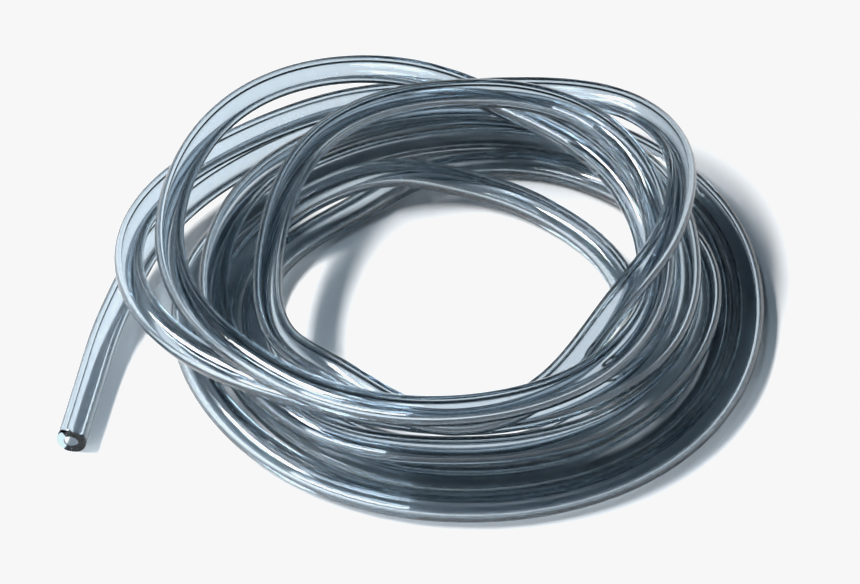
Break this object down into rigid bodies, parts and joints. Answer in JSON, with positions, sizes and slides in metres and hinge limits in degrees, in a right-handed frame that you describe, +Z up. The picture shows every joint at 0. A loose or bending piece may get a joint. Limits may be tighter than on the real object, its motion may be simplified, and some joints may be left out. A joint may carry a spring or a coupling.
{
  "type": "coiled clear hose",
  "caption": "Loose coil of clear thick-walled flexible hose, cut square at both ends, with one end led out of the coil to a small bore.",
  "frame": {"origin": "on the floor, under the middle of the coil's bounding box", "axes": "+Z up from the floor the coil lies on, and the mouth of the free end faces -Y"},
  "size_m": [0.286, 0.2468, 0.0593],
  "materials": {
    "clear_hose": "clear flexible PVC, smooth and glossy"
  },
  "bodies": {
    "root": {"cut_end": "clear_hose", "free_run": "clear_hose", "outer_floor_turn": "clear_hose", "second_floor_turn": "clear_hose", "inner_floor_turn": "clear_hose", "nested_turn": "clear_hose", "leaning_turn": "clear_hose", "right_arch": "clear_hose", "top_arch": "clear_hose", "left_arch": "clear_hose"}
  },
  "joints": []
}
